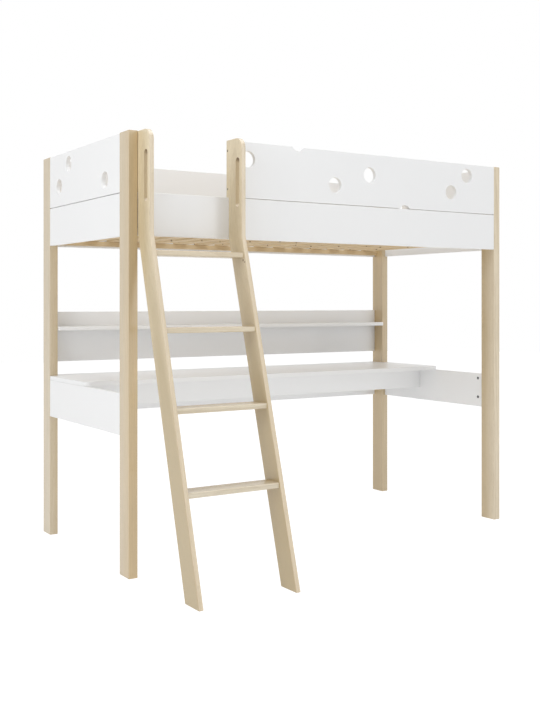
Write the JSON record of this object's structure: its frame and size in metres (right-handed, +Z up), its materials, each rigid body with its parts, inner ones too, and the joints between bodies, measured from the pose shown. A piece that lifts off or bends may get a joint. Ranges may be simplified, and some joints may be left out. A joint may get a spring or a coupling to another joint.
{
  "type": "loft bed",
  "caption": "High single bed on four wooden posts, with a fixed bent ladder, pierced white guard boards, slats, and a desk and a narrow shelf below.",
  "frame": {"origin": "on the floor, under the middle of the whole object's box, ladder included", "axes": "+X along the bed from the ladder's end, +Y from the ladder side to the wall side, +Z up"},
  "size_m": [2.11, 1.538, 1.84],
  "materials": {
    "birch": "clear matt lacquer",
    "white_lacquer": "satin white lacquer on board",
    "pine": "planed, untreated",
    "dowel_beech": "untreated",
    "dark_zinc": "dark cast zinc",
    "zinc_steel": "bright zinc plate"
  },
  "bodies": {
    "root": {"bearer_front": "pine", "bearer_rear": "pine", "cam_bolts": "zinc_steel", "cam_locks": "dark_zinc", "desk_apron": "white_lacquer", "desk_end_left": "white_lacquer", "desk_end_right": "white_lacquer", "desk_rear_rail": "white_lacquer", "desktop": "white_lacquer", "desktop_brackets": "zinc_steel", "guard_front": "white_lacquer", "guard_left": "white_lacquer", "guard_rear": "white_lacquer", "guard_right": "white_lacquer", "guard_screws": "zinc_steel", "ladder_bolts": "zinc_steel", "ladder_stringer_left": "birch", "ladder_stringer_right": "birch", "ladder_tread_1": "birch", "ladder_tread_2": "birch", "ladder_tread_3": "birch", "ladder_tread_4": "birch", "post_front_left": "birch", "post_front_right": "birch", "post_rear_left": "birch", "post_rear_right": "birch", "post_slot_plates": "zinc_steel", "rail_front": "white_lacquer", "rail_hook_plates": "zinc_steel", "rail_left": "white_lacquer", "rail_rear": "white_lacquer", "rail_right": "white_lacquer", "shelf_back": "white_lacquer", "shelf_board": "white_lacquer", "slat_01": "pine", "slat_02": "pine", "slat_03": "pine", "slat_04": "pine", "slat_05": "pine", "slat_06": "pine", "slat_07": "pine", "slat_08": "pine", "slat_09": "pine", "slat_10": "pine", "slat_11": "pine", "slat_12": "pine", "slat_13": "pine", "slat_14": "pine", "slat_15": "pine", "slat_16": "pine", "wood_dowels": "dowel_beech"}
  },
  "joints": []
}
